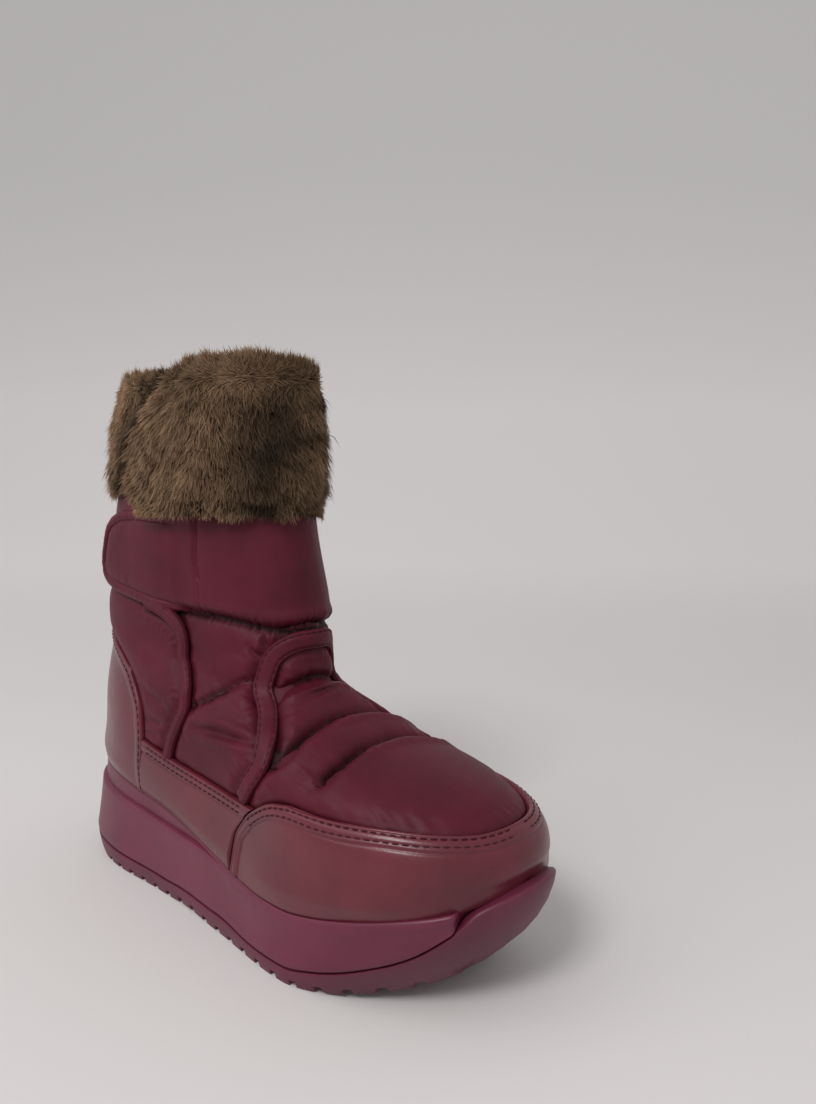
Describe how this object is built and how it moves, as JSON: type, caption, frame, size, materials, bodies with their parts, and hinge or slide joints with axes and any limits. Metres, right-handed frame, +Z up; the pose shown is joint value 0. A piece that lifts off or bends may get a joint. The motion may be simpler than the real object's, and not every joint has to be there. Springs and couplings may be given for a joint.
{
  "type": "snow boot",
  "caption": "Ankle-high winter boot for the right foot: padded nylon upper, leather toe cap and heel counter, deep fur cuff, side closure and a thick rocker sole with a toe bumper.",
  "frame": {"origin": "on the floor under the middle of the heel's flat spot, 55 mm in front of the sole's rearmost point", "axes": "+X towards the toe, -Y the outer (lateral) side, +Y the inner (medial) side, +Z up out of the collar"},
  "size_m": [0.2748, 0.0972, 0.2529],
  "materials": {
    "tread_rubber": "moulded, satin",
    "sole_rubber": "moulded, satin",
    "lining_fleece": "brushed pile",
    "nylon": "padded woven nylon, low sheen",
    "leather": "smooth coated, semi-gloss",
    "fur": "long-haired fur cloth"
  },
  "bodies": {
    "root": {"outsole": "tread_rubber", "midsole": "sole_rubber", "insole": "lining_fleece", "upper": "nylon", "toe_cap": "leather", "heel_counter": "leather", "side_band_outer": "leather", "side_band_inner": "leather", "saddle_strip": "nylon", "strap_tab": "nylon", "edge_binding": "nylon", "fur_cuff": "fur"}
  },
  "joints": []
}
